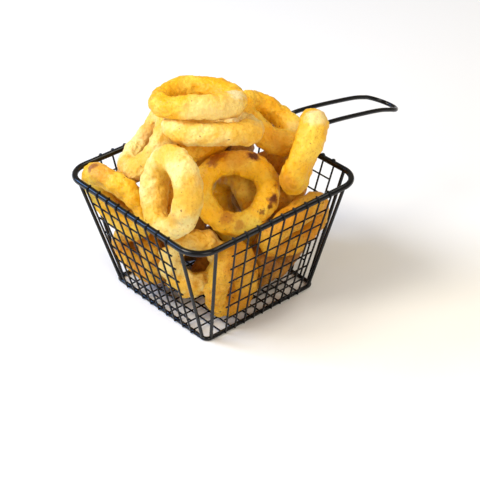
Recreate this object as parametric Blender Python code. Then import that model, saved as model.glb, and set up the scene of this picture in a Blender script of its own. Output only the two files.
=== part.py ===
"""Wire frying basket filled with battered onion rings, at real size, in metres, +Z up.

The basket's handle points along +X and the base wire rests on z = 0.
The rings are placed by hand and then eased apart, so that each lies on what is under it.
"""

import math

import bpy
import bmesh
import numpy as np
from mathutils import Vector, noise

MM = 0.001

# Basket, all in millimetres, centre line to centre line
RIM_LENGTH = 125.0
RIM_WIDTH = 120.0
BASE_SIDE = 84.3
BASKET_DEPTH = 75.3
RIM_CORNER = 14.0
BASE_CORNER = 3.5

# Wire diameters
RIM_WIRE = 3.6
BASE_WIRE = 2.5
UPRIGHT_WIRE = 2.1
HANDLE_WIRE = 2.8
VERTICAL_WIRE = 1.2
CROSS_WIRE = 1.0

# Woven wire of the four sides and the floor
VERTICALS = 9
VERTICAL_PITCH = 9.0
CROSS_WIRES = 6
WIRE_OVERHANG = 1.0
WELD_OFFSET = 0.8

# Handle, seen from the side: (run out from the basket's middle, height above the base wire)
HANDLE_HALF_WIDTH = 11.0
HANDLE_SIDE = (
    (64.9, 78.3),
    (68.5, 82.6),
    (74.0, 85.2),
    (90.0, 83.5),
    (110.0, 80.0),
    (128.0, 76.3),
    (139.0, 72.7),
)
HANDLE_SPAN_STEPS = 3
HANDLE_BOW_STEPS = 8
HANDLE_END = 150.0
HANDLE_END_HEIGHT = 67.5

# Smallest distance left between two separate pieces
CLEARANCE = 0.3

# An upright leans in under the wire it meets, so it reaches this share of the way to its middle
UPRIGHT_LEAN = 0.75

# The basket stands in the frame so that the whole object is centred on the origin
BASKET_X = -(HANDLE_END + HANDLE_WIRE / 2 - RIM_LENGTH / 2 - RIM_WIRE / 2) / 2
BASKET_Z = BASE_WIRE / 2

# Rings are placed along the basket's diagonal, which runs through its front corner:
# across to the right, away to the back, and up from the base wire's centre line
DIAGONAL = math.radians(-41.1)

# name, centre, long direction, short direction, half length, half width, thickness / 2,
# heavy end (share thicker at the end of the long direction), hold (how firmly it keeps its place)
RINGS = (
    ("ring_crown", (-8, 1, 123.5), (1, 0, 0), (0, 1, -0.16), 21.5, 18, 6.9, 0.08, 1.2),
    ("ring_right_shoulder", (33, 22, 98.5), (0.8, -0.34, -0.5), (-0.36, -0.93, 0.05), 18.5, 12, 7.3, 0, 0.8),
    ("ring_second", (-0.5, -5, 113), (1, 0.12, -0.08), (-0.12, 0.98, -0.16), 22, 15, 7.4, 0, 0.8),
    ("ring_left_shoulder", (-34.5, 12, 91), (0.55, 0.45, 0.7), (-0.3, 0.9, -0.37), 20, 15, 7.4, 0, 0.5),
    ("ring_front_left", (-23, -33, 86), (0.14, 0.34, 0.93), (0.63, -0.76, 0.19), 20.5, 16, 8.0, 0, 0.5),
    ("ring_front", (15.5, -12, 72), (1, 0, 0), (0, 0.56, 0.83), 19.5, 18, 7.0, 0, 0.6),
    ("ring_right_upright", (50.5, -8, 95), (0.4, 0.2, 0.88), (-0.05, 0.83, -0.55), 19.5, 10.5, 7.4, 0, 0.9),
    ("ring_left_rim", (-56, -6, 62.5), (-0.7, 0.6, 0.36), (-0.28, 0.23, -0.93), 21.5, 13, 6.6, 0, 0.35),
    ("ring_left_back", (-44.5, 21, 59), (0.7, 0.7, 0), (-0.15, 0.15, 1), 16, 14, 6.5, 0, 0.2),
    ("ring_corner", (-9.5, -29, 35), (1, 0, 0), (0, 0.5, 0.85), 15, 13, 6.8, 0, 0.3),
    ("ring_corner_low", (10, -36, 21), (-0.08, 0.15, 1), (0.74, 0.67, 0), 18.5, 12, 7.0, 0, 0.3),
    ("ring_right_upper", (47, -13, 50), (0.75, 0.65, 0.12), (0.1, -0.3, 0.95), 21, 11, 6.8, 0, 0.25),
    ("ring_right_lower", (40, -9, 28), (0.7, 0.7, 0.1), (0.14, -0.27, 0.95), 17, 11, 6.6, 0, 0.25),
    ("ring_right_back", (24.5, 40, 46), (-0.84, 0.53, 0.1), (0.24, 0.22, 0.94), 19, 13, 6.8, 0, 0.05),
    ("ring_heart", (14.5, 14, 47), (0, 0.3, 1), (0.6, -0.8, 0.2), 19, 16, 7.4, 0, 0.35),
    ("ring_under_crown", (-7, 23, 90), (0.45, 0.9, 0), (-0.9, 0.45, -0.3), 19, 15, 6.8, 0, 0.05),
    ("ring_core_left", (-23, 12, 38), (0.6, 0.8, 0), (-0.15, 0.12, 1), 18, 13, 6.6, 0, 0.02),
    ("ring_back", (-9, 47, 68), (0.85, 0.5, 0.2), (-0.3, 0.2, 0.95), 18, 12, 6.6, 0, 0.02),
    ("ring_back_low", (-3, 37, 26), (1, 0.2, 0.1), (-0.15, 0.36, 0.92), 18, 14, 6.6, 0, 0.02),
    ("ring_floor", (-14, 3, 10), (0.5, 0.85, 0), (-0.85, 0.5, 0), 16, 13, 5.9, 0, 0.02),
    ("ring_left_low", (-42.5, -9, 30), (-0.66, 0.75, 0.1), (-0.18, -0.28, 0.94), 17, 12, 6.3, 0, 0.05),
    ("ring_floor_right", (23, 6, 10), (0.4, 0.9, 0), (-0.9, 0.4, 0.15), 18, 14, 6.6, 0, 0.02),
    ("ring_back_corner", (8, 55, 50), (0.5, -0.85, 0.1), (0.2, 0.2, 0.95), 16, 12, 6.2, 0, 0.02),
    ("ring_left_inner", (-25, -10, 57), (0.3, 0.9, 0.2), (-0.2, 0.1, 1), 15.5, 12, 6.2, 0, 0.02),
    ("ring_right_inner", (32, 20, 59), (0.8, -0.3, 0.1), (0.3, 0.9, 0.1), 16, 13, 6.6, 0, 0.03),
)
RING_POINTS = 36
RING_SEGMENTS = 18
CRAGGY = {"ring_corner": 1.3, "ring_left_rim": 0.8}
CRAG_GRAIN = 6.0
SEED = 5

# Easing the rings apart: passes with a slight sag, then passes that only clear them
SAG_PASSES = 300
CLEAR_PASSES = 200
SAG = 0.05
RING_GAP = 0.75
RIM_GAP = 0.525
RIM_SPACING = 3.0
PUSH_SHARE = 0.95
HOLD_WEIGHT = 6
TURN_HOLD = 2.5
LEAST_HOLD = 0.02
FIRM_FROM = 0.2
FIRM = 0.5
LOOSE = 0.7

POWDER_BLACK = (0.012, 0.012, 0.014, 1.0)
BATTER_GOLD = (0.80, 0.42, 0.08, 1.0)
BATTER_PALE = (0.87, 0.57, 0.19, 1.0)
BATTER_BROWN = (0.55, 0.22, 0.035, 1.0)


def clear_scene():
    for item in list(bpy.data.objects):
        bpy.data.objects.remove(item, do_unlink=True)


def make_collection(name):
    group = bpy.data.collections.new(name)
    bpy.context.scene.collection.children.link(group)
    return group


def make_material(name, color, roughness, metallic):
    material = bpy.data.materials.new(name)
    material.use_nodes = True
    shader = material.node_tree.nodes["Principled BSDF"]
    shader.inputs["Base Color"].default_value = color
    shader.inputs["Roughness"].default_value = roughness
    shader.inputs["Metallic"].default_value = metallic
    material.diffuse_color = color
    return material


def wire_curve(name, points, diameter, closed=False, sides_level=2, swell=None):
    """A wire: a poly spline through points in millimetres, round in section."""
    curve = bpy.data.curves.new(name, "CURVE")
    curve.dimensions = "3D"
    curve.bevel_depth = diameter / 2 * MM
    curve.bevel_resolution = sides_level
    curve.use_fill_caps = not closed
    spline = curve.splines.new("POLY")
    spline.points.add(len(points) - 1)
    spline.use_cyclic_u = closed
    for index, point in enumerate(points):
        spline.points[index].co = (*(Vector(point) * MM), 1.0)
        if swell is not None:
            spline.points[index].radius = float(swell[index])
    wire = bpy.data.objects.new(name, curve)
    return wire


def curve_to_mesh(wire, collection):
    """The same tube as a mesh with its caps welded, ready for a Boolean."""
    bpy.context.scene.collection.objects.link(wire)
    bpy.context.view_layer.update()
    graph = bpy.context.evaluated_depsgraph_get()
    mesh = bpy.data.meshes.new_from_object(wire.evaluated_get(graph))
    mesh.name = wire.name
    form = bmesh.new()
    form.from_mesh(mesh)
    bmesh.ops.remove_doubles(form, verts=form.verts, dist=0.00001)
    bmesh.ops.recalc_face_normals(form, faces=form.faces)
    form.to_mesh(mesh)
    form.free()
    name = wire.name
    place = wire.matrix_world.copy()
    curve = wire.data
    bpy.data.objects.remove(wire)
    bpy.data.curves.remove(curve)
    solid = bpy.data.objects.new(name, mesh)
    solid.matrix_world = place
    collection.objects.link(solid)
    return solid


def add_part(part, material, collection):
    """Place a finished piece, made round the basket's middle, in the shared frame."""
    part.data.materials.append(material)
    part.location = (BASKET_X * MM, 0, BASKET_Z * MM)
    collection.objects.link(part)
    return part


def rounded_rectangle(length, width, corner, height, arc_points):
    points = []
    for quarter, (sx, sy) in enumerate(((1, 1), (-1, 1), (-1, -1), (1, -1))):
        centre_x = sx * (length / 2 - corner)
        centre_y = sy * (width / 2 - corner)
        for step in range(arc_points):
            turn = (quarter + step / (arc_points - 1)) * math.pi / 2
            points.append((centre_x + corner * math.cos(turn), centre_y + corner * math.sin(turn), height))
    return points


def make_rim(material, collection):
    points = rounded_rectangle(RIM_LENGTH, RIM_WIDTH, RIM_CORNER, BASKET_DEPTH, 6)
    return add_part(wire_curve("rim_wire", points, RIM_WIRE, closed=True), material, collection)


def make_base(material, collection):
    points = rounded_rectangle(BASE_SIDE, BASE_SIDE, BASE_CORNER, 0, 4)
    return add_part(wire_curve("base_wire", points, BASE_WIRE, closed=True), material, collection)


def side_frame(side):
    """Middle of a side at the base and at the rim, and the direction along that side.

    Sides go round from the handle's side: 0 is +X, 1 is +Y, 2 is -X, 3 is -Y.
    """
    turn = side * math.pi / 2
    out = Vector((round(math.cos(turn)), round(math.sin(turn)), 0))
    along = Vector((-out.y, out.x, 0))
    reach = RIM_LENGTH / 2 if side % 2 == 0 else RIM_WIDTH / 2
    low = out * BASE_SIDE / 2
    high = out * reach + Vector((0, 0, BASKET_DEPTH))
    return low, high, along


def side_span(side):
    """Half the straight run of the rim along a side."""
    full = RIM_WIDTH if side % 2 == 0 else RIM_LENGTH
    return full / 2 - RIM_CORNER


def trimmed(low, high, cut_low, cut_high):
    """A straight run shortened at both ends, to stay clear of the wires it meets."""
    direction = (high - low).normalized()
    return low + direction * cut_low, high - direction * cut_high


def make_uprights(material, collection):
    """Two thick wires at each corner, from the start of the rim's bend to the base corner."""
    for side in range(4):
        low, high, along = side_frame(side)
        for end in (-1, 1):
            foot = low + along * end * (BASE_SIDE / 2 - BASE_CORNER)
            head = high + along * end * side_span(side)
            rim_cut = (RIM_WIRE + UPRIGHT_WIRE) / 2 * UPRIGHT_LEAN + CLEARANCE
            base_cut = (BASE_WIRE + UPRIGHT_WIRE) / 2 * UPRIGHT_LEAN + CLEARANCE
            run = trimmed(foot, head, base_cut, rim_cut)
            name = f"upright_{side + 1}{'a' if end < 0 else 'b'}"
            add_part(wire_curve(name, run, UPRIGHT_WIRE), material, collection)


def fuse(name, pieces, collection, material):
    """Join loose wires into one solid with a single union, and drop the loose ones."""
    first = pieces[0]
    others = make_collection(name + "_wires")
    for piece in pieces[1:]:
        collection.objects.unlink(piece)
        others.objects.link(piece)
    union = first.modifiers.new("fuse", "BOOLEAN")
    union.operation = "UNION"
    union.operand_type = "COLLECTION"
    union.collection = others
    bpy.context.view_layer.update()
    graph = bpy.context.evaluated_depsgraph_get()
    mesh = bpy.data.meshes.new_from_object(first.evaluated_get(graph))
    mesh.name = name
    for piece in pieces:
        bpy.data.objects.remove(piece, do_unlink=True)
    bpy.data.collections.remove(others)
    return add_part(bpy.data.objects.new(name, mesh), material, collection)


def make_side_mesh(side, material, collection):
    """One side's grid: upright thin wires outside, cross wires welded just inside them."""
    low, high, along = side_frame(side)
    slope = (high - low).normalized()
    inward = slope.cross(along)
    if inward.dot(low) > 0:
        inward = -inward
    narrowing = (BASE_SIDE / 2 - BASE_CORNER) / side_span(side)
    pieces = []
    steps = [index - (VERTICALS - 1) / 2 for index in range(VERTICALS)]
    for index, step in enumerate(steps):
        foot = low + along * step * VERTICAL_PITCH * narrowing
        head = high + along * step * VERTICAL_PITCH
        cut_high = (RIM_WIRE + VERTICAL_WIRE) / 2 + CLEARANCE
        cut_low = (BASE_WIRE + VERTICAL_WIRE) / 2 + CLEARANCE
        run = trimmed(foot, head, cut_low, cut_high)
        wire = wire_curve(f"vertical_{index}", run, VERTICAL_WIRE, sides_level=0)
        pieces.append(curve_to_mesh(wire, collection))
    for row in range(CROSS_WIRES):
        share = (row + 1) / (CROSS_WIRES + 1)
        middle = low.lerp(high, share) + inward * WELD_OFFSET
        width = 1 + (narrowing - 1) * (1 - share)
        reach = steps[-1] * VERTICAL_PITCH * width + WIRE_OVERHANG
        run = (middle - along * reach, middle + along * reach)
        wire = wire_curve(f"cross_{row}", run, CROSS_WIRE, sides_level=0)
        pieces.append(curve_to_mesh(wire, collection))
    return fuse(f"side_mesh_{side + 1}", pieces, collection, material)


def make_floor_mesh(material, collection):
    """The floor's grid lies inside the base wire, its upper wires across the lower ones."""
    reach = BASE_SIDE / 2 - (BASE_WIRE + CROSS_WIRE) / 2 - CLEARANCE
    narrowing = (BASE_SIDE / 2 - BASE_CORNER) / side_span(0)
    pieces = []
    for index in range(VERTICALS):
        place = (index - (VERTICALS - 1) / 2) * VERTICAL_PITCH * narrowing
        lower = ((place, -reach, 0), (place, reach, 0))
        upper = ((-reach, place, WELD_OFFSET), (reach, place, WELD_OFFSET))
        for level, run in enumerate((lower, upper)):
            wire = wire_curve(f"floor_{level}_{index}", run, CROSS_WIRE, sides_level=0)
            pieces.append(curve_to_mesh(wire, collection))
    return fuse("floor_mesh", pieces, collection, material)


def smooth_route(points, steps):
    """Points of a smooth curve that passes through the given ones."""
    ends = [2 * points[0] - points[1], *points, 2 * points[-1] - points[-2]]
    route = []
    for before, here, there, after in zip(ends, ends[1:], ends[2:], ends[3:]):
        for step in range(steps):
            share = step / steps
            straight = 2 * here + (there - before) * share
            curved = (2 * before - 5 * here + 4 * there - after) * share**2
            cubic = (3 * here - before - 3 * there + after) * share**3
            route.append((straight + curved + cubic) / 2)
    return route + [points[-1]]


def make_handle(material, collection):
    """One bent wire: out along one side, round the end, and back along the other."""
    marks = [Vector((run, -HANDLE_HALF_WIDTH, height)) for run, height in HANDLE_SIDE]
    side = smooth_route(marks, HANDLE_SPAN_STEPS)
    bend_start = side[-1]
    bow = []
    for step in range(1, HANDLE_BOW_STEPS):
        turn = -math.pi / 2 + math.pi * step / HANDLE_BOW_STEPS
        out = math.cos(turn)
        run = bend_start.x + (HANDLE_END - bend_start.x) * out
        height = bend_start.z + (HANDLE_END_HEIGHT - bend_start.z) * out
        bow.append(Vector((run, HANDLE_HALF_WIDTH * math.sin(turn), height)))
    back = [Vector((point.x, -point.y, point.z)) for point in reversed(side)]
    return add_part(wire_curve("handle", side + bow + back, HANDLE_WIRE), material, collection)


def along_diagonal(vector):
    """Turn across, away and up into the basket's own directions."""
    across, away, up = vector
    x = across * math.cos(DIAGONAL) - away * math.sin(DIAGONAL)
    y = across * math.sin(DIAGONAL) + away * math.cos(DIAGONAL)
    return np.array((x, y, up), float)


def ring_path(row, draws):
    """A ring's centre line and thickness at each point: a bent, slightly egg-shaped oval."""
    _, centre, long_way, short_way, half_length, half_width, thickness, heavy, _ = row
    first = along_diagonal(long_way)
    first /= np.linalg.norm(first)
    second = along_diagonal(short_way)
    second -= first * (first @ second)
    second /= np.linalg.norm(second)
    normal = np.cross(first, second)
    phase = draws.uniform(0, 2 * math.pi, 4)
    turn = np.arange(RING_POINTS) * 2 * math.pi / RING_POINTS
    egg = 1 + 0.03 * np.cos(turn - phase[0]) + 0.03 * np.cos(3 * turn - phase[1])
    bend = 1.3 * np.cos(2 * turn - phase[2])
    path = np.outer(half_length * np.cos(turn) * egg, first)
    path += np.outer(half_width * np.sin(turn) * egg, second)
    path += np.outer(bend, normal)
    path += along_diagonal(centre) - path.mean(0)
    swell = heavy * np.cos(turn) if heavy else 0.08 * np.cos(turn - phase[3])
    swell = 1 + swell + 0.05 * np.cos(2 * turn - phase[1]) + 0.04 * np.cos(5 * turn - phase[2])
    return path, thickness * swell


def rim_points():
    """Close points along the rim, for keeping the rings off it."""
    corners = rounded_rectangle(RIM_LENGTH, RIM_WIDTH, RIM_CORNER, BASKET_DEPTH, 6)
    points = []
    for here, there in zip(corners, corners[1:] + corners[:1]):
        pieces = max(1, round(math.dist(here, there) / RIM_SPACING))
        for step in range(pieces):
            points.append(Vector(here).lerp(Vector(there), step / pieces))
    return np.array([tuple(point) for point in points])


def push_from_rings(points, reach, owner, firmness):
    """Move points of different rings apart along the line between them."""
    squares = (points**2).sum(1)
    distance = squares[:, None] + squares[None, :] - 2 * points @ points.T
    limit = reach[:, None] + reach[None, :] + RING_GAP
    touching = (distance < limit**2) & (owner[:, None] != owner[None, :])
    one, two = np.nonzero(np.triu(touching))
    push = np.zeros_like(points)
    count = np.zeros(len(points))
    if len(one) == 0:
        return push, count
    between = points[one] - points[two]
    length = np.linalg.norm(between, axis=1) + 1e-9
    depth = limit[one, two] - length
    between /= length[:, None]
    give_one = 1 / (1 + HOLD_WEIGHT * firmness[owner[one]])
    give_two = 1 / (1 + HOLD_WEIGHT * firmness[owner[two]])
    share = give_one / (give_one + give_two)
    np.add.at(push, one, between * (share * depth)[:, None])
    np.add.at(push, two, -between * ((1 - share) * depth)[:, None])
    np.add.at(count, one, 1)
    np.add.at(count, two, 1)
    return push, count


def push_from_basket(points, reach, rim, push, count):
    """Move points off the rim wire, the sloping sides and the floor."""
    away = points[:, None, :] - rim[None, :, :]
    length = np.linalg.norm(away, axis=2)
    depth = np.maximum(reach[:, None] + RIM_WIRE / 2 + RIM_GAP - length, 0)
    nearest = depth.argmax(1)
    rows = np.arange(len(points))
    worst = depth[rows, nearest]
    hit = worst > 0
    push[hit] += (away[rows, nearest] / (length[rows, nearest] + 1e-9)[:, None] * worst[:, None])[hit]
    count[hit] += 1
    below_rim = points[:, 2] < BASKET_DEPTH + 2
    inset = WELD_OFFSET * 2 + RING_GAP / 2
    for side in range(4):
        low, high, along = side_frame(side)
        inward = (high - low).cross(along).normalized()
        if inward.dot(low) > 0:
            inward = -inward
        inward = np.array(inward)
        depth = np.where(below_rim, reach + inset - (points - np.array(low)) @ inward, 0)
        hit = depth > 0
        push[hit] += inward * depth[hit, None]
        count[hit] += 1
    depth = reach + WELD_OFFSET + CROSS_WIRE + RING_GAP - points[:, 2]
    hit = depth > 0
    push[hit, 2] += depth[hit]
    count[hit] += 1


def keep_form(path, rest, home, home_turned, hold, ease, stiffness):
    """Pull a ring back towards its own form and, while it still sags, towards its place."""
    middle = path.mean(0)
    spread = (path - middle).T @ rest + TURN_HOLD * hold * ease * home_turned
    left, _, right = np.linalg.svd(spread)
    flip = np.diag([1, 1, np.sign(np.linalg.det(left @ right))])
    goal = rest @ (left @ flip @ right).T + middle
    goal = goal + ease * max(hold, LEAST_HOLD) * (home - middle)
    return path * (1 - stiffness) + goal * stiffness


def lay_rings():
    """Centre lines and thicknesses of all rings, eased apart until none cross."""
    draws = np.random.default_rng(SEED)
    shapes = [ring_path(row, draws) for row in RINGS]
    paths = np.array([path for path, _ in shapes])
    thickness = np.array([size for _, size in shapes])
    hold = np.array([row[-1] for row in RINGS])
    homes = paths.mean(1)
    rests = paths - homes[:, None, :]
    turned = [rest.T @ rest for rest in rests]
    owner = np.repeat(np.arange(len(RINGS)), RING_POINTS)
    reach = thickness.reshape(-1)
    rim = rim_points()
    for step in range(SAG_PASSES + CLEAR_PASSES):
        ease = 1.0
        if step >= SAG_PASSES:
            ease = max(0.0, 1 - (step - SAG_PASSES) / (0.6 * CLEAR_PASSES))
        points = paths.reshape(-1, 3)
        points[:, 2] -= SAG * ease
        push, count = push_from_rings(points, reach, owner, hold)
        push_from_basket(points, reach, rim, push, count)
        points = points + push / np.maximum(count, 1)[:, None] * PUSH_SHARE
        paths = points.reshape(len(RINGS), RING_POINTS, 3)
        for index, row in enumerate(RINGS):
            stiffness = (FIRM if hold[index] >= FIRM_FROM else LOOSE) * (0.5 + 0.5 * ease)
            paths[index] = keep_form(
                paths[index], rests[index], homes[index], turned[index], hold[index], ease, stiffness
            )
        paths = np.round(paths, 6)
    return paths, thickness


def roughen(mesh, height):
    """Crags: move each vertex in or out by a smooth noise."""
    form = bmesh.new()
    form.from_mesh(mesh)
    form.normal_update()
    for vertex in form.verts:
        bump = noise.noise(vertex.co / (CRAG_GRAIN * MM))
        vertex.co -= vertex.normal * (abs(bump) * height * MM)
    form.to_mesh(mesh)
    form.free()


def make_rings(batters, collection):
    paths, thickness = lay_rings()
    every = RING_POINTS // RING_SEGMENTS
    for index, row in enumerate(RINGS):
        name = row[0]
        radius = row[6]
        path = [tuple(point) for point in paths[index][::every]]
        swell = thickness[index][::every] / radius
        tube = wire_curve(name, path, radius * 2, closed=True, swell=swell)
        if name in CRAGGY:
            tube = curve_to_mesh(tube, collection)
            collection.objects.unlink(tube)
            roughen(tube.data, CRAGGY[name])
        add_part(tube, batters[index % len(batters)], collection)


def main():
    clear_scene()
    basket = make_collection("onion_rings_side")
    black = make_material("black_powder_coat", POWDER_BLACK, 0.35, 0.0)
    batters = [
        make_material("fried_batter_gold", BATTER_GOLD, 0.45, 0.0),
        make_material("fried_batter_pale", BATTER_PALE, 0.45, 0.0),
        make_material("fried_batter_brown", BATTER_BROWN, 0.5, 0.0),
    ]
    make_rim(black, basket)
    make_base(black, basket)
    make_uprights(black, basket)
    for side in range(4):
        make_side_mesh(side, black, basket)
    make_floor_mesh(black, basket)
    make_handle(black, basket)
    make_rings(batters, basket)


main()
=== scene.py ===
# %% [markdown]
# # Battered onion rings in a wire basket
#
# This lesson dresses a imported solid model: a small square serving basket of black wire with a
# looped handle, heaped with deep-fried onion rings. The solids give every piece its place. The
# lesson gives them round wires, lumpy batter and real finishes.

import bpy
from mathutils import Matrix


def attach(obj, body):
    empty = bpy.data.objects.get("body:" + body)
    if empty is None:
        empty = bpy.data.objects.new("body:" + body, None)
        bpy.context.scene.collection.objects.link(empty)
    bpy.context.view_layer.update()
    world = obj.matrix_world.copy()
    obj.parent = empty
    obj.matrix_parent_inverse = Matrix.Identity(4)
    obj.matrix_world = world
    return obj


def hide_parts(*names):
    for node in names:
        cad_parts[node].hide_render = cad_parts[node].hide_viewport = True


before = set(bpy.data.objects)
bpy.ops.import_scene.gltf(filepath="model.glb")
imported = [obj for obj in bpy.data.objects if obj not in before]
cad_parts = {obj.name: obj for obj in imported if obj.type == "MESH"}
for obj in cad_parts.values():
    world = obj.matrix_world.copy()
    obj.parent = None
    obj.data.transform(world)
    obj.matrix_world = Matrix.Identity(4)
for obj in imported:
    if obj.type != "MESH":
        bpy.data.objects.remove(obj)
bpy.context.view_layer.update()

# %% [markdown]
# ## Small tools
#
# An operator acts on everything that is selected, and the loaded solids come in selected. So each
# step starts by selecting just the piece that it works on.

# %% Selecting, and handing a finished piece over
import math

import bpy
from mathutils import Vector

MM = 0.001


def pick(*pieces):
    """Select only these pieces. The first one is the active one."""
    bpy.ops.object.select_all(action="DESELECT")
    for piece in pieces:
        piece.select_set(True)
    bpy.context.view_layer.objects.active = pieces[0]


def hand_over(piece, material, record_slot, *nodes):
    """Give a piece its finish, tie it to the part and let it stand for its solids."""
    piece.data.materials.clear()
    piece.data.materials.append(material)
    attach(piece, "root")
    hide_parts(*nodes)


# %% [markdown]
# ## Colours and shader nodes
#
# Colours are written as the hex values seen on a screen. A shader works with linear light, so
# one function turns them round. The others add a node, set plain values, and make the noise, the
# mixes of colour and the bumps that the finishes have in common.

# %% Hex colours to linear, and the functions that add nodes
# The Mix node has its own sockets for each kind of data. Those for colours go by number.
COLOUR_A = 6
COLOUR_B = 7
COLOUR_RESULT = 2


def linear(hex_colour):
    """The sRGB curve, undone."""
    channels = []
    for start in (1, 3, 5):
        value = int(hex_colour[start : start + 2], 16) / 255
        channels.append(value / 12.92 if value <= 0.04045 else ((value + 0.055) / 1.055) ** 2.4)
    return (*channels, 1.0)


def add_node(tree, kind, sockets=None, **settings):
    """Add a node. A socket is given a number, a colour, or another node's output."""
    node = tree.nodes.new(kind)
    for name, value in settings.items():
        setattr(node, name, value)
    for name, value in (sockets or {}).items():
        if isinstance(value, bpy.types.NodeSocket):
            tree.links.new(value, node.inputs[name])
        else:
            node.inputs[name].default_value = value
    return node


def set_values(node, values):
    for name, value in values.items():
        node.inputs[name].default_value = value


def grain(tree, place, size, detail, roughness):
    """Noise from 0 to 1, with grains of about this size."""
    sockets = {"Vector": place, "Scale": 1 / size, "Detail": detail, "Roughness": roughness}
    return add_node(tree, "ShaderNodeTexNoise", sockets).outputs["Fac"]


def stretched(tree, value, low, high):
    """Turn a value from 0 to 1 into one from low to high."""
    sockets = {"Value": value, "To Min": low, "To Max": high}
    return add_node(tree, "ShaderNodeMapRange", sockets).outputs["Result"]


def mixed(tree, share, under, over):
    sockets = {"Factor": share, COLOUR_A: under, COLOUR_B: over}
    return add_node(tree, "ShaderNodeMix", sockets, data_type="RGBA").outputs[COLOUR_RESULT]


def bump_skin(tree, shader, height, strength, depth):
    sockets = {"Height": height, "Strength": strength, "Distance": depth}
    bump = add_node(tree, "ShaderNodeBump", sockets)
    tree.links.new(bump.outputs["Normal"], shader.inputs["Normal"])


def new_material(name):
    material = bpy.data.materials.new(name)
    material.use_nodes = True
    tree = material.node_tree
    return material, tree, tree.nodes["Principled BSDF"]


# %% [markdown]
# ## Powder-coated steel
#
# The wire is mild steel, welded and then sprayed with black polyester powder that melts into a
# thick, even skin in the oven. It is between satin and gloss, with a faint orange-peel of a
# millimetre or two that breaks up the reflections along each wire. Handling wears it unevenly,
# so the glint is sharp in one place and soft in the next.

# %% The black powder coat
# Each noise is the size of its grains, its detail and its roughness.
PEEL = (1.5 * MM, 2.0, 0.5)
WEAR = (9 * MM, 3.0, 0.5)
PEEL_STRENGTH = 0.6
PEEL_DEPTH = 0.10 * MM
COAT_SHADES = ("#050506", "#0C0D10")
COAT_ROUGHNESS = (0.14, 0.28)
COAT_VALUES = {"IOR": 1.5, "Specular IOR Level": 0.3}

powder_coat, tree, shader = new_material("black_polyester_powder_coat")
place = add_node(tree, "ShaderNodeTexCoord").outputs["Object"]
wear = grain(tree, place, *WEAR)
tint = mixed(tree, wear, linear(COAT_SHADES[0]), linear(COAT_SHADES[1]))
tree.links.new(tint, shader.inputs["Base Color"])
tree.links.new(stretched(tree, wear, *COAT_ROUGHNESS), shader.inputs["Roughness"])
bump_skin(tree, shader, grain(tree, place, *PEEL), PEEL_STRENGTH, PEEL_DEPTH)
set_values(shader, COAT_VALUES)
print("material:", powder_coat.name)

# %% [markdown]
# ## Drawing a wire
#
# A real wire is bent from straight stock, so it is the same thickness all the way. By hand one
# would extrude a single vertex from bend to bend, turn that line into a curve, and give the curve
# a round section. The same steps are used here for every wire of the basket.

# %% A wire: one vertex extruded along a route, then given a round section
# Routes are in millimetres from here: the basket's middle, at the base wire's height.
BASKET = Vector((-43.55, 0, 1.25))
SAME_POINT = 0.01 * MM
SMOOTH_BELOW = math.radians(50)


def draw_wire(name, route, diameter, roundness, closed=False):
    """Roundness is the bevel resolution of the curve, so how finely its section is drawn."""
    marks = [(BASKET + Vector(point)) * MM for point in route]
    bpy.ops.object.select_all(action="DESELECT")
    bpy.ops.mesh.primitive_plane_add(size=MM, location=(0, 0, 0))
    wire = bpy.context.object
    wire.name = name
    bpy.ops.object.mode_set(mode="EDIT")
    bpy.ops.mesh.select_all(action="SELECT")
    bpy.ops.mesh.merge(type="CENTER")
    bpy.ops.transform.translate(value=marks[0])
    for here, there in zip(marks, marks[1:]):
        bpy.ops.mesh.extrude_region_move(TRANSFORM_OT_translate={"value": there - here})
    bpy.ops.object.mode_set(mode="OBJECT")
    bpy.ops.object.convert(target="CURVE")
    wire.data.splines[0].use_cyclic_u = closed
    wire.data.bevel_depth = diameter / 2 * MM
    wire.data.bevel_resolution = roundness
    wire.data.use_fill_caps = not closed
    bpy.ops.object.convert(target="MESH")
    bpy.ops.object.mode_set(mode="EDIT")
    bpy.ops.mesh.select_all(action="SELECT")
    bpy.ops.mesh.remove_doubles(threshold=SAME_POINT)
    bpy.ops.mesh.normals_make_consistent(inside=False)
    bpy.ops.object.mode_set(mode="OBJECT")
    bpy.ops.object.shade_smooth_by_angle(angle=SMOOTH_BELOW)
    return wire


def join_wires(name, wires):
    pick(*wires)
    bpy.ops.object.join()
    joined = bpy.context.object
    joined.name = name
    return joined


# %% [markdown]
# ## Rim and base
#
# The rim is the thickest wire, a rounded rectangle closed with a butt weld. The base wire is a
# smaller square with tight corners. Both are single closed wires, so each is one closed route.

# %% The rim and the base wire
RIM_HALF_X = 62.5
RIM_HALF_Y = 60.0
RIM_CORNER = 14.0
RIM_WIRE = 3.6
RIM_ARC_STEPS = 12
RIM_ROUNDNESS = 6
BASE_HALF = 42.15
BASE_CORNER = 3.5
BASE_WIRE = 2.5
BASE_ARC_STEPS = 6
STOUT_ROUNDNESS = 5
DEPTH = 75.3


def rounded_route(half_x, half_y, corner, height, arc_steps):
    route = []
    for quarter, (sx, sy) in enumerate(((1, 1), (-1, 1), (-1, -1), (1, -1))):
        for step in range(arc_steps + 1):
            turn = (quarter + step / arc_steps) * math.pi / 2
            x = sx * (half_x - corner) + corner * math.cos(turn)
            y = sy * (half_y - corner) + corner * math.sin(turn)
            route.append((x, y, height))
    return route


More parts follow.
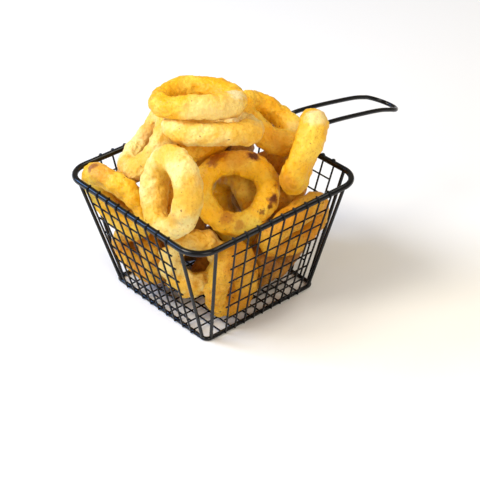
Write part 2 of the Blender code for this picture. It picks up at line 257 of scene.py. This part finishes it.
rim_route = rounded_route(RIM_HALF_X, RIM_HALF_Y, RIM_CORNER, DEPTH, RIM_ARC_STEPS)
rim = draw_wire("rim", rim_route, RIM_WIRE, RIM_ROUNDNESS, closed=True)
hand_over(rim, powder_coat, "black_powder_coat", "rim_wire")
base_route = rounded_route(BASE_HALF, BASE_HALF, BASE_CORNER, 0, BASE_ARC_STEPS)
base = draw_wire("base_ring", base_route, BASE_WIRE, STOUT_ROUNDNESS, closed=True)
hand_over(base, powder_coat, "black_powder_coat", "base_wire")
print("rim and base wires:", len(rim.data.vertices) + len(base.data.vertices), "vertices")

# %% [markdown]
# ## Handle
#
# The handle is one wire bent into a long narrow loop. Both its legs rise from the rim, turn over
# and run out, dropping a little, to a rounded end. Only a few marks were measured on each leg,
# and a smooth curve is drawn through them.

# %% The looped handle
HANDLE_WIRE = 2.8
HANDLE_HALF_WIDTH = 11.0
HANDLE_MARKS = (
    (63.6, 76.4),
    (64.9, 78.3),
    (68.5, 82.6),
    (74.0, 85.2),
    (90.0, 83.5),
    (110.0, 80.0),
    (128.0, 76.3),
    (139.0, 72.7),
)
HANDLE_TIP = (150.0, 67.5)
HANDLE_STEPS = 5
BOW_STEPS = 16


def smooth_route(marks, steps):
    """Points of a smooth curve through all the marks."""
    ends = [2 * marks[0] - marks[1], *marks, 2 * marks[-1] - marks[-2]]
    route = []
    for before, here, there, after in zip(ends, ends[1:], ends[2:], ends[3:]):
        for step in range(steps):
            share = step / steps
            point = 2 * here + (there - before) * share
            point = point + (2 * before - 5 * here + 4 * there - after) * share**2
            point = point + (3 * here - before - 3 * there + after) * share**3
            route.append(point / 2)
    return route + [marks[-1]]


leg = smooth_route([Vector((x, -HANDLE_HALF_WIDTH, z)) for x, z in HANDLE_MARKS], HANDLE_STEPS)
bow = []
for step in range(1, BOW_STEPS):
    turn = math.pi * (step / BOW_STEPS - 0.5)
    x = leg[-1].x + (HANDLE_TIP[0] - leg[-1].x) * math.cos(turn)
    z = leg[-1].z + (HANDLE_TIP[1] - leg[-1].z) * math.cos(turn)
    bow.append(Vector((x, HANDLE_HALF_WIDTH * math.sin(turn), z)))
other_leg = [Vector((point.x, -point.y, point.z)) for point in reversed(leg)]
handle = draw_wire("handle_loop", leg + bow + other_leg, HANDLE_WIRE, STOUT_ROUNDNESS)
hand_over(handle, powder_coat, "black_powder_coat", "handle")
print("handle reaches x =", round(max(v.co.x for v in handle.data.vertices), 4))

# %% [markdown]
# ## Corner wires and woven sides
#
# Two stouter wires run down each corner. Between them each side is a grid: nine thin wires that
# stand upright, and six thinner ones welded across just inside them. The upright ones end in a
# short bend over the rim from the outside, which shows as a row of small nubs along it. The grid
# of one side is drawn in its own directions, so the same cell makes all four.

# %% Directions of a side, and the corner wires
UPRIGHT_WIRE = 2.1
UPRIGHT_ROUNDNESS = 4
UP = Vector((0, 0, 1))


def side_directions(side):
    """Which way is out and which way is along, and how far out the rim is."""
    turn = side * math.pi / 2
    out = Vector((round(math.cos(turn)), round(math.sin(turn)), 0))
    along = Vector((-out.y, out.x, 0))
    reach = RIM_HALF_X if side % 2 == 0 else RIM_HALF_Y
    span = (RIM_HALF_Y if side % 2 == 0 else RIM_HALF_X) - RIM_CORNER
    return out, along, reach, span


for side in range(4):
    out, along, reach, span = side_directions(side)
    for end, letter in ((-1, "a"), (1, "b")):
        foot = out * BASE_HALF + along * end * (BASE_HALF - BASE_CORNER)
        head = out * reach + along * end * span + UP * DEPTH
        name = f"corner_wire_{side + 1}{letter}"
        wire = draw_wire(name, (foot, head), UPRIGHT_WIRE, UPRIGHT_ROUNDNESS)
        hand_over(wire, powder_coat, "black_powder_coat", f"upright_{side + 1}{letter}")
print("corner wires: 8")

# %% The four woven sides
THIN_WIRE = 1.2
CROSS_WIRE = 1.0
THIN_ROUNDNESS = 2
STANDING = 9
PITCH = 9.0
ROWS = 6
OVERHANG = 1.0
PRESSED_IN = 0.1
FOOT_OUT = 1.45
FOOT_DROP = 0.4
BEND_RADIUS = 2.08
BEND_START = -15
BEND_SWEEP = 130
BEND_STEPS = 8


def woven_side(side):
    out, along, reach, span = side_directions(side)
    narrowing = (BASE_HALF - BASE_CORNER) / span
    wires = []
    for index in range(STANDING):
        step = (index - (STANDING - 1) / 2) * PITCH
        foot = out * (BASE_HALF + FOOT_OUT) + along * step * narrowing - UP * FOOT_DROP
        rim_middle = out * reach + along * step + UP * DEPTH
        route = [foot]
        for bend_step in range(BEND_STEPS + 1):
            turn = math.radians(BEND_START + BEND_SWEEP * bend_step / BEND_STEPS)
            route.append(rim_middle + (out * math.cos(turn) + UP * math.sin(turn)) * BEND_RADIUS)
        wires.append(draw_wire("standing", route, THIN_WIRE, THIN_ROUNDNESS))
    touching = (THIN_WIRE + CROSS_WIRE) / 2
    for row in range(ROWS):
        share = (row + 1) / (ROWS + 1)
        inset = FOOT_OUT + (BEND_RADIUS - FOOT_OUT) * share - touching + PRESSED_IN
        middle = out * (BASE_HALF + (reach - BASE_HALF) * share + inset) + UP * DEPTH * share
        width = 1 + (narrowing - 1) * (1 - share)
        half = (STANDING - 1) / 2 * PITCH * width + OVERHANG
        route = (middle - along * half, middle + along * half)
        wires.append(draw_wire("across", route, CROSS_WIRE, THIN_ROUNDNESS))
    return join_wires(f"woven_side_{side + 1}", wires)


for side in range(4):
    woven = woven_side(side)
    hand_over(woven, powder_coat, "black_powder_coat", f"side_mesh_{side + 1}")
print("woven sides:", len(woven.data.polygons), "faces each")

# %% [markdown]
# ## Floor of the basket
#
# The floor is a flat grid of the same thin wire inside the base wire. One set of wires lies on
# the other, welded where they cross.

# %% The floor grid
FLOOR_MARGIN = 0.8
FLOOR_LAYER = 0.8
FLOOR_REACH = BASE_HALF - FLOOR_MARGIN
FLOOR_PITCH = PITCH * (BASE_HALF - BASE_CORNER) / (RIM_HALF_Y - RIM_CORNER)
floor_wires = []
for index in range(STANDING):
    step = (index - (STANDING - 1) / 2) * FLOOR_PITCH
    lower = ((step, -FLOOR_REACH, 0), (step, FLOOR_REACH, 0))
    upper = ((-FLOOR_REACH, step, FLOOR_LAYER), (FLOOR_REACH, step, FLOOR_LAYER))
    floor_wires.append(draw_wire("floor_lower", lower, CROSS_WIRE, THIN_ROUNDNESS))
    floor_wires.append(draw_wire("floor_upper", upper, CROSS_WIRE, THIN_ROUNDNESS))
floor_grid = join_wires("floor_grid", floor_wires)
hand_over(floor_grid, powder_coat, "black_powder_coat", "floor_mesh")
print("floor grid wires:", len(floor_wires))

# %% [markdown]
# ## Fried batter
#
# The crust is a thin flour batter set in hot oil. It is a porous, glassy foam: golden where it is
# thin, pale where it stood thick, and toasted to orange-brown where it touched the pan or another
# ring. Fine crumbs mottle it all over. A film of oil gives it soft, broken highlights. Light goes
# a little way in, so the surface scatters below the skin. The small specks are pepper and burnt
# crumbs. They are about half a millimetre across on the real ones, drawn here at twice that so
# that they show. A batch never comes out even, so there are five mixes of colour. Four are the
# crust's own; the fifth, deep one is painted shade for rings that lie deep in the pile. Some
# rings also carry painted highlights and painted shade as marks.

# %% One finish for fried batter, with toasted and pale marks, and marks of painted light and shade
# Each noise is the size of its grains, its detail and its roughness.
PATCHES = (17.0 * MM, 3.0, 0.55)
BLOTCHES = (7.0 * MM, 5.0, 0.62)
CRUMBS = (1.3 * MM, 2.0, 0.55)
SPECKS = (2.6 * MM, 1.0, 0.4)
EDGES = (3.2 * MM, 3.0, 0.6)
OIL_FILM = (7.0 * MM, 3.0, 0.55)
PORES = (1.6 * MM, 4.0, 0.6)
DIMPLES = (4.5 * MM, 3.0, 0.55)

# Where in its noise a colour starts, where it is full, and how strong it is there.
PALE_RANGE = (0.40, 0.66, 1.0)
TOASTED_RANGE = (0.66, 0.86, 0.9)
CRUMB_RANGE = (0.54, 0.70, 0.5)
SPECK_RANGE = (0.745, 0.80, 0.75)
SPECK_COLOUR = "#7A3E12"
TOASTING_REACH = 0.2

# A mark's edge wanders by this many millimetres at most, round a core that is its full colour.
WIDEST_WOBBLE = 4.0
CORE = 0.4

OIL_ROUGHNESS = (0.24, 0.55)
PORE_SHARE = 0.5
SKIN_STRENGTH = 1.0
SKIN_DEPTH = 1.5 * MM
BATTER_VALUES = {
    "IOR": 1.46,
    "Specular IOR Level": 0.38,
    "Subsurface Weight": 0.22,
    "Subsurface Radius": (1.0, 0.72, 0.25),
    "Subsurface Scale": 2.2 * MM,
}


def fried_batter(name, body, pale, toasted, toasting, marks=()):
    """Toasting is how much of the crust has browned. A mark is (place in mm, radius in mm,
    colour, how strong)."""
    material, tree, shader = new_material(name)
    place = add_node(tree, "ShaderNodeTexCoord").outputs["Object"]

    def noise(kind):
        return grain(tree, place, *kind)

    def between(value, low, high, top):
        sockets = {"Value": value, "From Min": low, "From Max": high, "To Max": top}
        node = add_node(tree, "ShaderNodeMapRange", sockets, interpolation_type="SMOOTHSTEP")
        return node.outputs["Result"]

    def times_plus(value, factor, rest):
        sockets = {0: value, 1: factor, 2: rest}
        return add_node(tree, "ShaderNodeMath", sockets, operation="MULTIPLY_ADD").outputs[0]

    colour = mixed(tree, between(noise(PATCHES), *PALE_RANGE), linear(body), linear(pale))
    start, full, most = TOASTED_RANGE
    browning = between(noise(BLOTCHES), start - TOASTING_REACH * toasting, full, most)
    colour = mixed(tree, browning, colour, linear(toasted))
    colour = mixed(tree, between(noise(CRUMBS), *CRUMB_RANGE), colour, linear(toasted))
    for spot, radius, tone, strength in marks:
        wobble = min(radius, WIDEST_WOBBLE)
        sockets = {0: place, 1: Vector(spot) * MM}
        far = add_node(tree, "ShaderNodeVectorMath", sockets, operation="DISTANCE")
        ragged = times_plus(noise(EDGES), 2 * wobble * MM, far.outputs["Value"])
        share = between(ragged, (radius + wobble) * MM, (CORE * radius + wobble) * MM, strength)
        colour = mixed(tree, share, colour, linear(tone))
    colour = mixed(tree, between(noise(SPECKS), *SPECK_RANGE), colour, linear(SPECK_COLOUR))
    tree.links.new(colour, shader.inputs["Base Color"])
    oil = stretched(tree, noise(OIL_FILM), *OIL_ROUGHNESS)
    tree.links.new(oil, shader.inputs["Roughness"])
    height = times_plus(noise(PORES), PORE_SHARE, noise(DIMPLES))
    bump_skin(tree, shader, height, SKIN_STRENGTH, SKIN_DEPTH)
    set_values(shader, BATTER_VALUES)
    return material


# Each mix is the body of the crust, its pale patches and its toasted ones.
GOLD = ("#F4B20A", "#FAD048", "#D0820C")
PALE = ("#F5C040", "#FCE390", "#DA941C")
BROWN = ("#DC920E", "#EDB430", "#98560E")
# The deep mix is painted shade: a darker brown for rings that lie in shade deep in the pile.
DEEP_PAINTED_SHADE = ("#A9690F", "#C98E2C", "#6A370C")
HONEY = ("#FCBC10", "#FED852", "#DA8C10")

# %% [markdown]
# ## The rings
#
# A sliced onion ring is dipped in batter, which sets thicker on one side than the other, runs,
# blisters and wrinkles. A torus would be far too even. The solid model already has each ring's own
# bend and thickness, but with flat facets. So each solid is copied and its doubles merged, then
# fattened by what smoothing takes away, subdivided, and pushed in and out by three sizes of noise:
# slow waves of the batter, lumps, and small blisters. A few rings get crags as well.

# %% How a ring is smoothed and made lumpy
SEAM = 0.02 * MM
QUAD_FOLD = math.radians(50)
QUAD_SKEW = math.radians(60)
FATTEN = 0.72 * MM
SUBDIVISIONS = 3
STAYS_PUT = 0.5


def cloud(name, size, kind="CLOUDS"):
    texture = bpy.data.textures.new(name, kind)
    texture.noise_scale = size
    return texture


WAVES = cloud("batter_waves", 11.0 * MM)
LUMPS = cloud("batter_lumps", 4.5 * MM)
BLISTERS = cloud("batter_blisters", 2.2 * MM)
CRAGS = cloud("batter_crags", 5.5 * MM, "STUCCI")


def batter_ring(node, name, waves=2.6, lumps=1.7, blisters=0.9, crags=0.0):
    """Heights are in millimetres, from the lowest to the highest point of each noise."""
    ring = bpy.data.objects.new(name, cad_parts[node].data.copy())
    bpy.context.scene.collection.objects.link(ring)
    pick(ring)
    bpy.ops.object.mode_set(mode="EDIT")
    bpy.ops.mesh.select_all(action="SELECT")
    bpy.ops.mesh.remove_doubles(threshold=SEAM)
    bpy.ops.mesh.tris_convert_to_quads(face_threshold=QUAD_FOLD, shape_threshold=QUAD_SKEW)
    bpy.ops.transform.shrink_fatten(value=FATTEN)
    bpy.ops.object.mode_set(mode="OBJECT")
    bpy.ops.object.modifier_add(type="SUBSURF")
    ring.modifiers["Subdivision"].levels = SUBDIVISIONS
    ring.modifiers["Subdivision"].render_levels = SUBDIVISIONS
    heights = ((WAVES, waves), (LUMPS, lumps), (BLISTERS, blisters), (CRAGS, crags))
    for texture, height in heights:
        if height == 0:
            continue
        bpy.ops.object.modifier_add(type="DISPLACE")
        push = ring.modifiers[-1]
        push.texture = texture
        push.texture_coords = "LOCAL"
        push.mid_level = STAYS_PUT
        push.strength = height * MM
    for modifier in list(ring.modifiers):
        bpy.ops.object.modifier_apply(modifier=modifier.name)
    bpy.ops.object.shade_smooth()
    return ring


# %% [markdown]
# ## Which ring is which
#
# The rings that lie on top are named for their place. Their marks are given as points on the
# ring, in millimetres. The brown ones are toasted spots, because on the real ones each brown patch
# is where that ring touched hot metal. Some pale and orange marks are painted highlights and
# painted shade; a comment on each says which.

# %% The visible rings, each with its own finish
VISIBLE = (
    # solid, name, finish, toasting, marks
    ("ring_crown", "crown_ring", GOLD, 0.1, (
        # The three pale marks are painted light: the lit front of the ring and a painted highlight
        # on its top.
        ((-60.9, -13.3, 127.7), 16, "#FCE08C", 0.75),
        ((-46, -19, 127), 14, "#FCE08C", 0.7),
        ((-37.4, -14.2, 134.0), 7, "#FDEBB4", 0.8),
    )),
    ("ring_second", "second_ring", PALE, 0.1, (
        # The two orange marks are painted shade on the underside of the ring.
        ((-56.2, -23.7, 111), 7, "#DE9424", 0.5),
        ((-45, -28, 109), 6, "#DE9424", 0.4),
    )),
    ("ring_right_shoulder", "right_shoulder_ring", GOLD, 0.25, (
        # The pale mark is a painted highlight on the ring's lower end.
        ((5.3, -16.8, 97.9), 7, "#FBDD86", 0.6),
        ((-10.3, -21.6, 97.1), 9, "#E29C1C", 0.5),
    )),
    ("ring_left_shoulder", "left_shoulder_ring", PALE, 0.2, (
        ((-57.5, 40.4, 91.9), 9, "#E0982A", 0.6),
    )),
    ("ring_front_left", "front_left_ring", PALE, 0.1, (
        ((-77.6, -29.8, 101.3), 5, "#E2A23A", 0.4),
        ((-91.7, -24.7, 80), 6, "#D89028", 0.4),
    )),
    ("ring_front", "front_ring", HONEY, 0.3, (
        ((-34.0, -9.0, 92.5), 15, "#D98A1A", 0.6),
        ((-47.2, -5.7, 90.5), 5.5, "#A85612", 0.85),
        ((-41.1, -5.7, 92.2), 4.5, "#A85612", 0.8),
        ((-27.5, -17.4, 91.3), 5.5, "#A4540F", 0.8),
        ((-27.5, -17.4, 91.3), 3.4, "#56260A", 0.9),
        ((-29.3, -37.6, 72.3), 5.0, "#B0600F", 0.8),
        ((-29.3, -37.6, 72.3), 3.0, "#5F2C0C", 0.9),
        ((-32.3, -38.3, 69.1), 2.4, "#6E3010", 0.9),
        ((-26.5, -35.5, 79.0), 2.4, "#9A5010", 0.8),
        ((-37.9, -36.8, 66.6), 2.4, "#8A4410", 0.8),
        ((-52.7, -23.2, 63.0), 6.0, "#BE6D16", 0.7),
        ((-49.8, -31.2, 59.5), 4.0, "#C4741A", 0.6),
    )),
    ("ring_right_upright", "right_upright_ring", GOLD, 0.15, (
        # The orange mark low on the left is painted shade, and the pale one at the top is painted
        # light.
        ((-28.3, -45.5, 86.0), 10, "#D0821A", 0.6),
        ((-5.5, -46.6, 122.3), 9, "#FCE6A4", 0.7),
    )),
    ("ring_left_rim", "left_rim_ring", GOLD, 0.4, (
        ((-97.0, 38.0, 84.5), 11, "#CC7A1C", 0.6),
        ((-98.0, 44.0, 85.0), 4.5, "#8A4010", 0.8),
    )),
    ("ring_left_back", "left_back_ring", BROWN, 0.5, ()),
    ("ring_corner", "corner_ring", PALE, 0.45, ()),
    ("ring_corner_low", "corner_low_ring", BROWN, 0.35, (
        ((-60, -62, 12), 12, "#F0C060", 0.5),
    )),
    ("ring_right_upper", "right_upper_ring", BROWN, 0.5, ()),
    # Painted shade: the deep mix darkens this low ring for the shade it lies in.
    ("ring_right_lower", "right_lower_ring", DEEP_PAINTED_SHADE, 0.3, ()),
    ("ring_heart", "heart_ring", HONEY, 0.2, ()),
    ("ring_under_crown", "under_crown_ring", GOLD, 0.3, ()),
    ("ring_left_low", "left_low_ring", BROWN, 0.4, ()),
)
SLOTS = {
    GOLD: "fried_batter_gold",
    HONEY: "fried_batter_gold",
    PALE: "fried_batter_pale",
    BROWN: "fried_batter_brown",
    DEEP_PAINTED_SHADE: "fried_batter_brown",
}
SHAPES = {
    "ring_corner": {"waves": 3.0, "lumps": 2.6, "blisters": 1.2, "crags": 3.0},
    "ring_corner_low": {"waves": 2.8, "lumps": 2.2, "blisters": 1.0, "crags": 2.0},
    "ring_front": {"waves": 2.2, "lumps": 1.6, "blisters": 1.0, "crags": 0.6},
    "ring_left_rim": {"waves": 2.6, "lumps": 2.0, "blisters": 1.0, "crags": 1.2},
}

for node, name, finish, toasting, marks in VISIBLE:
    batter = fried_batter(f"fried_batter_{name}", *finish, toasting, marks)
    ring = batter_ring(node, name, **SHAPES.get(node, {}))
    hand_over(ring, batter, SLOTS[finish], node)
    print(name, len(ring.data.polygons), "faces")

# %% [markdown]
# ## Rings inside the pile
#
# The rest lie under the others and show only through the wire. They are made the same way, and
# share one finish for each mix. The deep mix that most of them get is painted shade, for the
# shade deep in the pile.

# %% The rings underneath
BURIED = (
    ("ring_right_back", DEEP_PAINTED_SHADE),
    ("ring_core_left", DEEP_PAINTED_SHADE),
    ("ring_back", PALE),
    ("ring_back_low", DEEP_PAINTED_SHADE),
    ("ring_floor", DEEP_PAINTED_SHADE),
    ("ring_floor_right", DEEP_PAINTED_SHADE),
    ("ring_back_corner", DEEP_PAINTED_SHADE),
    ("ring_left_inner", BROWN),
    ("ring_right_inner", BROWN),
)
shared = {
    PALE: fried_batter("fried_batter_pale_shared", *PALE, toasting=0.2),
    BROWN: fried_batter("fried_batter_brown_shared", *BROWN, toasting=0.5),
    # The deep finish is painted shade for the rings in the dark of the pile.
    DEEP_PAINTED_SHADE: fried_batter("fried_batter_painted_shade_shared", *DEEP_PAINTED_SHADE, toasting=0.5),
}
for node, finish in BURIED:
    ring = batter_ring(node, node.removeprefix("ring_") + "_ring")
    hand_over(ring, shared[finish], SLOTS[finish], node)
print("rings underneath:", len(BURIED))

# %% [markdown]
# ## Studio
#
# The photograph was taken from above the front corner with a long lens, by soft light from the
# upper left. A wide warm lamp does that here, and a second one fills in from the front. The other
# three are for the black wires. A cool lamp low on the left draws pale lines along them, a cool
# one behind on the left draws the blue line on the rim, and a small one on the upper right gives
# the rim its sparks. The floor is plain and pale.

# %% The floor
FLOOR_SIZE = 8.0
PAPER_VALUES = {"Base Color": linear("#F4F3F0"), "Roughness": 0.9}

bpy.ops.object.select_all(action="DESELECT")
bpy.ops.mesh.primitive_plane_add(size=FLOOR_SIZE, location=(0, 0, 0))
floor = bpy.context.object
floor.name = "studio_floor"
paper, tree, shader = new_material("matt_white_paper")
set_values(shader, PAPER_VALUES)
floor.data.materials.append(paper)

# %% The lamps, and the light that comes from all round
PILE_MIDDLE = Vector((-0.04, 0, 0.07))
LAMPS = (
    # name, place and size in metres, power in watts, colour
    ("window_lamp", (-0.70, 0.30, 1.00), 0.45, 11.2, "#FFF8EA"),
    ("front_fill", (-0.30, -1.1, 0.75), 0.6, 5.8, "#FFF6E8"),
    ("cool_side", (-1.0, -0.05, 0.35), 0.4, 2.0, "#9CC8FF"),
    ("cool_glint", (-0.85, 1.10, 0.85), 0.6, 16.0, "#86B8FF"),
    ("rim_glint", (0.60, -0.15, 1.10), 0.25, 2.5, "#FFFDF6"),
)
AIR_VALUES = {"Color": linear("#FFF3E0"), "Strength": 0.38}


def lamp(name, place, size, power, tone):
    """A square lamp turned towards the middle of the pile."""
    turn = (PILE_MIDDLE - Vector(place)).to_track_quat("-Z", "Y").to_euler()
    bpy.ops.object.light_add(type="AREA", location=place, rotation=turn)
    light = bpy.context.object
    light.name = name
    light.data.size = size
    light.data.energy = power
    light.data.color = linear(tone)[:3]


for row in LAMPS:
    lamp(*row)
world = bpy.context.scene.world or bpy.data.worlds.new("studio_air")
bpy.context.scene.world = world
world.use_nodes = True
set_values(world.node_tree.nodes["Background"], AIR_VALUES)
bpy.context.scene.view_settings.view_transform = "Standard"
print("lamps:", len(LAMPS))

# %% The camera, in metres, degrees and millimetres of lens
CAMERA_PLACE = (-0.51308, -0.56210, 0.52471)
CAMERA_TURN = (56.016, 0.244, -41.270)
SENSOR_WIDTH = 36.0
LENS = 110.04

bpy.ops.object.camera_add(location=CAMERA_PLACE, rotation=[math.radians(a) for a in CAMERA_TURN])
camera = bpy.context.object
camera.data.sensor_width = SENSOR_WIDTH
camera.data.lens = LENS
bpy.context.scene.camera = camera
print("camera:", CAMERA_PLACE)
